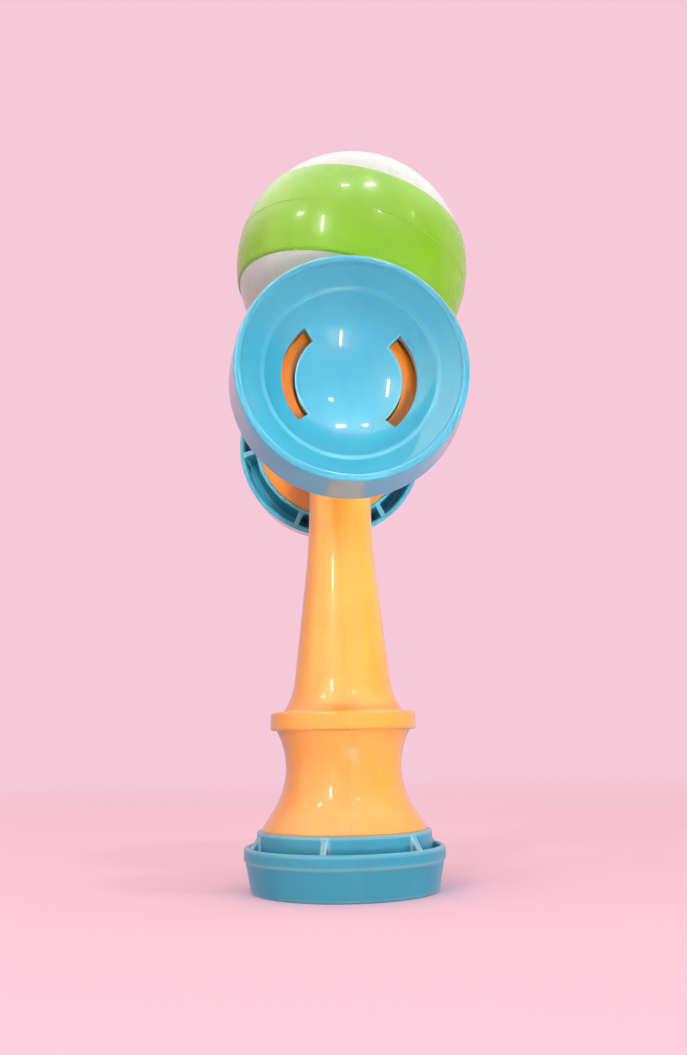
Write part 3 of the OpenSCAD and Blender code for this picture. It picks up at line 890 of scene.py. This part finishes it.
@dataclass
class Studio:
    """The pale floor, the soft light from all round and the lamps that the gloss shows.

    Attributes:
        reach: Radius of the floor, in metres.
        sides: Number of the floor's sides.
        floor_colour: Colour of the floor, linear.
        grain: Noise of the floor's paper.
        grain_shade: Gain of the paper's colour where its grain is full.
        backdrop: Colour that the floor fades into at the horizon, linear.
        fade: Radii between which the floor fades into the backdrop, in metres.
        light: The light from all round.
        mirror: What the gloss shows of the room.
        lamps: The lamps.
    """

    reach: float = 9.0
    sides: int = 128
    floor_colour: Colour = (0.93, 0.598, 0.712)
    grain: Layer = Layer(scale=900.0, detail=3.0)
    grain_shade: float = 0.985
    backdrop: Colour = (0.92, 0.585, 0.695)
    fade: Span = (0.14, 0.75)
    light: Dome = Dome(
        left=1.05, right=0.45, top=0.85, low=0.4, back=(0.74, 0.49, 0.58),
        under_front=(0.24, 0.20, 0.23), under_back=(0.50, 0.38, 0.48))
    mirror: Dome = Dome(
        left=1.4, right=0.2, top=1.7, low=1.0, back=(0.78, 0.50, 0.60),
        under_front=(1.00, 1.00, 1.03), under_back=(0.54, 0.41, 0.56), notch=0.75, warm=(1.15, 1.08, 0.95))
    lamps: tuple[Lamp, ...] = (
        Lamp("front_fill", azimuth=-26.0, elevation=3.0, distance=0.60, size=(0.20, 0.16), watts=0.028,
             aim=(0.0, -0.03, 0.125), spread=40.0, mirrored=False, spares_floor=True),
        Lamp("low_fill", azimuth=14.0, elevation=-24.0, distance=0.45, size=(0.16, 0.10), watts=0.068,
             aim=(0.0, -0.01, 0.087), spread=20.0, mirrored=False, spares_floor=True),
        Lamp("right_fill", azimuth=97.0, elevation=18.0, distance=0.90, size=(0.40, 0.50), watts=5.2,
             mirrored=False, spares_floor=True),
        Lamp("back_fill", azimuth=172.0, elevation=24.0, distance=0.90, size=(0.40, 0.50), watts=1.4,
             mirrored=False, spares_floor=True),
        Lamp("window", azimuth=-33.0, elevation=23.0, distance=0.60, size=(0.020, 0.170), watts=0.55),
        Lamp("ceiling_right", azimuth=25.5, elevation=63.0, distance=0.60, size=(0.070, 0.032), watts=0.40),
        Lamp("ceiling_left", azimuth=-13.2, elevation=63.0, distance=0.60, size=(0.050, 0.022), watts=0.20),
        Lamp("side_right", azimuth=61.0, elevation=35.0, distance=0.60, size=(0.022, 0.034), watts=0.035),
        Lamp("side_left", azimuth=-58.5, elevation=36.0, distance=0.60, size=(0.060, 0.030), watts=0.18),
        Lamp("glint", azimuth=23.7, elevation=33.0, distance=0.60, size=(0.030, 0.028), watts=0.12),
        Lamp("low_strip", azimuth=13.0, elevation=-25.0, distance=0.19, size=(0.006, 0.044), watts=0.0009,
             aim=(-0.0016, -0.0282, 0.1247), spread=36.0),
    )

    def build(self) -> None:
        """Makes the floor, the sky and the lamps."""
        floor = self._floor()
        self._sky()
        spared = bpy.data.collections.new("spared_floor")
        spared.objects.link(floor)
        spared.collection_objects[0].light_linking.link_state = "EXCLUDE"
        for lamp in self.lamps:
            lamp.hang(spared)

    def _floor(self) -> bpy.types.Object:
        """Makes the floor as one round sheet, which neither tints the toy nor shows in its gloss.

        Returns:
            The floor's object.
        """
        mesh = bmesh.new()
        bmesh.ops.create_circle(mesh, cap_ends=True, radius=self.reach, segments=self.sides)
        data = bpy.data.meshes.new("floor")
        mesh.to_mesh(data)
        mesh.free()
        data.materials.append(self._paper())
        floor = bpy.data.objects.new("floor", data)
        floor.visible_diffuse = False
        floor.visible_glossy = False
        bpy.context.scene.collection.objects.link(floor)
        LOG.info("floor")
        return floor

    def _paper(self) -> bpy.types.Material:
        """Makes the floor's matt paper, which has no visible end.

        Returns:
            The material.
        """
        material = bpy.data.materials.new("studio_paper")
        material.use_nodes = True
        material.node_tree.nodes.clear()
        bench = Bench(material.node_tree)
        place = bench.add("ShaderNodeTexCoord").outputs["Object"]
        dim = tuple(part * self.grain_shade for part in self.floor_colour)
        near = bench.add("ShaderNodeBsdfDiffuse")
        bench.join(bench.mix(bench.noise(place, self.grain), opaque(self.floor_colour), opaque(dim)),
                   near.inputs["Color"])
        far = bench.add("ShaderNodeEmission")
        bench.join(opaque(self.backdrop), far.inputs["Color"])
        radius = bench.add("ShaderNodeVectorMath", operation="LENGTH")
        bench.join(place, radius.inputs[0])
        sweep = bench.add("ShaderNodeMixShader")
        bench.join(bench.ramp(radius.outputs["Value"], self.fade), sweep.inputs[0])
        bench.join(near.outputs["BSDF"], sweep.inputs[1])
        bench.join(far.outputs["Emission"], sweep.inputs[2])
        out = bench.add("ShaderNodeOutputMaterial")
        bench.join(sweep.outputs["Shader"], out.inputs["Surface"])
        return material

    def _sky(self) -> None:
        """Sets the world: one dome that lights, one that gloss shows, and the backdrop for the camera."""
        scene = bpy.context.scene
        world = bpy.data.worlds.new("studio_sky")
        world.use_nodes = True
        world.node_tree.nodes.clear()
        bench = Bench(world.node_tree)
        way = bench.add("ShaderNodeTexCoord").outputs["Generated"]
        ray = bench.add("ShaderNodeLightPath")
        plain = bench.add("ShaderNodeBackground")
        bench.join(opaque(self.backdrop), plain.inputs["Color"])
        shader = self.light.paint(bench, way)
        mirror = self.mirror.paint(bench, way)
        for kind, other in (("Is Glossy Ray", mirror), ("Is Camera Ray", plain.outputs["Background"])):
            either = bench.add("ShaderNodeMixShader")
            bench.join(ray.outputs[kind], either.inputs[0])
            bench.join(shader, either.inputs[1])
            bench.join(other, either.inputs[2])
            shader = either.outputs["Shader"]
        out = bench.add("ShaderNodeOutputWorld")
        bench.join(shader, out.inputs["Surface"])
        scene.world = world
        scene.view_settings.view_transform = "Standard"


@dataclass(frozen=True)
class PhotoCamera:
    """The camera that was fitted to the photograph.

    Attributes:
        place: Position, in metres.
        yaw: Turn about the upright axis, in degrees.
        pitch: Tilt upwards, in degrees.
        roll: Turn about the line of sight, in degrees.
        focal_pixels: Focal length in the photograph's pixels.
        tall: Height of the photograph in pixels.
        sensor: Long side of the sensor, in millimetres.
        nearest: Nearest distance that it sees, in metres.
    """

    place: Point = (-0.021379, -0.252941, 0.034774)
    yaw: float = -5.016
    pitch: float = 11.414
    roll: float = -0.859
    focal_pixels: float = 1040.0
    tall: float = 1055.0
    sensor: float = 36.0
    nearest: float = 0.005

    # Tilt that makes an unturned camera, which looks straight down, look level
    LEVEL: ClassVar[float] = 90.0

    def mount(self) -> None:
        """Makes the camera and sets it as the scene's."""
        data = bpy.data.cameras.new("photo_camera")
        data.sensor_width = self.sensor
        data.lens = self.focal_pixels / self.tall * self.sensor
        data.clip_start = self.nearest
        data.dof.use_dof = False
        camera = bpy.data.objects.new("photo_camera", data)
        camera.matrix_world = (
            Matrix.Translation(self.place)
            @ Matrix.Rotation(math.radians(self.yaw), 4, "Z")
            @ Matrix.Rotation(math.radians(self.LEVEL + self.pitch), 4, "X")
            @ Matrix.Rotation(math.radians(self.roll), 4, "Z")
        )
        bpy.context.scene.collection.objects.link(camera)
        bpy.context.scene.camera = camera
        LOG.info("camera")


def main() -> None:
    """Builds the scene, piece by piece."""
    logging.basicConfig(level=logging.INFO, format="%(name)s: %(message)s")
    PhotoCamera().mount()
    Studio().build()
    skin = MouldedSkin()
    plastics = {batch_or_copy: Plastic(batch_or_copy.value, finish, skin) for batch_or_copy, finish in FINISHES.items()}
    for part in (Stem(), Cups(), Ball()):
        part.dress(plastics)


if __name__ == "__main__":
    main()
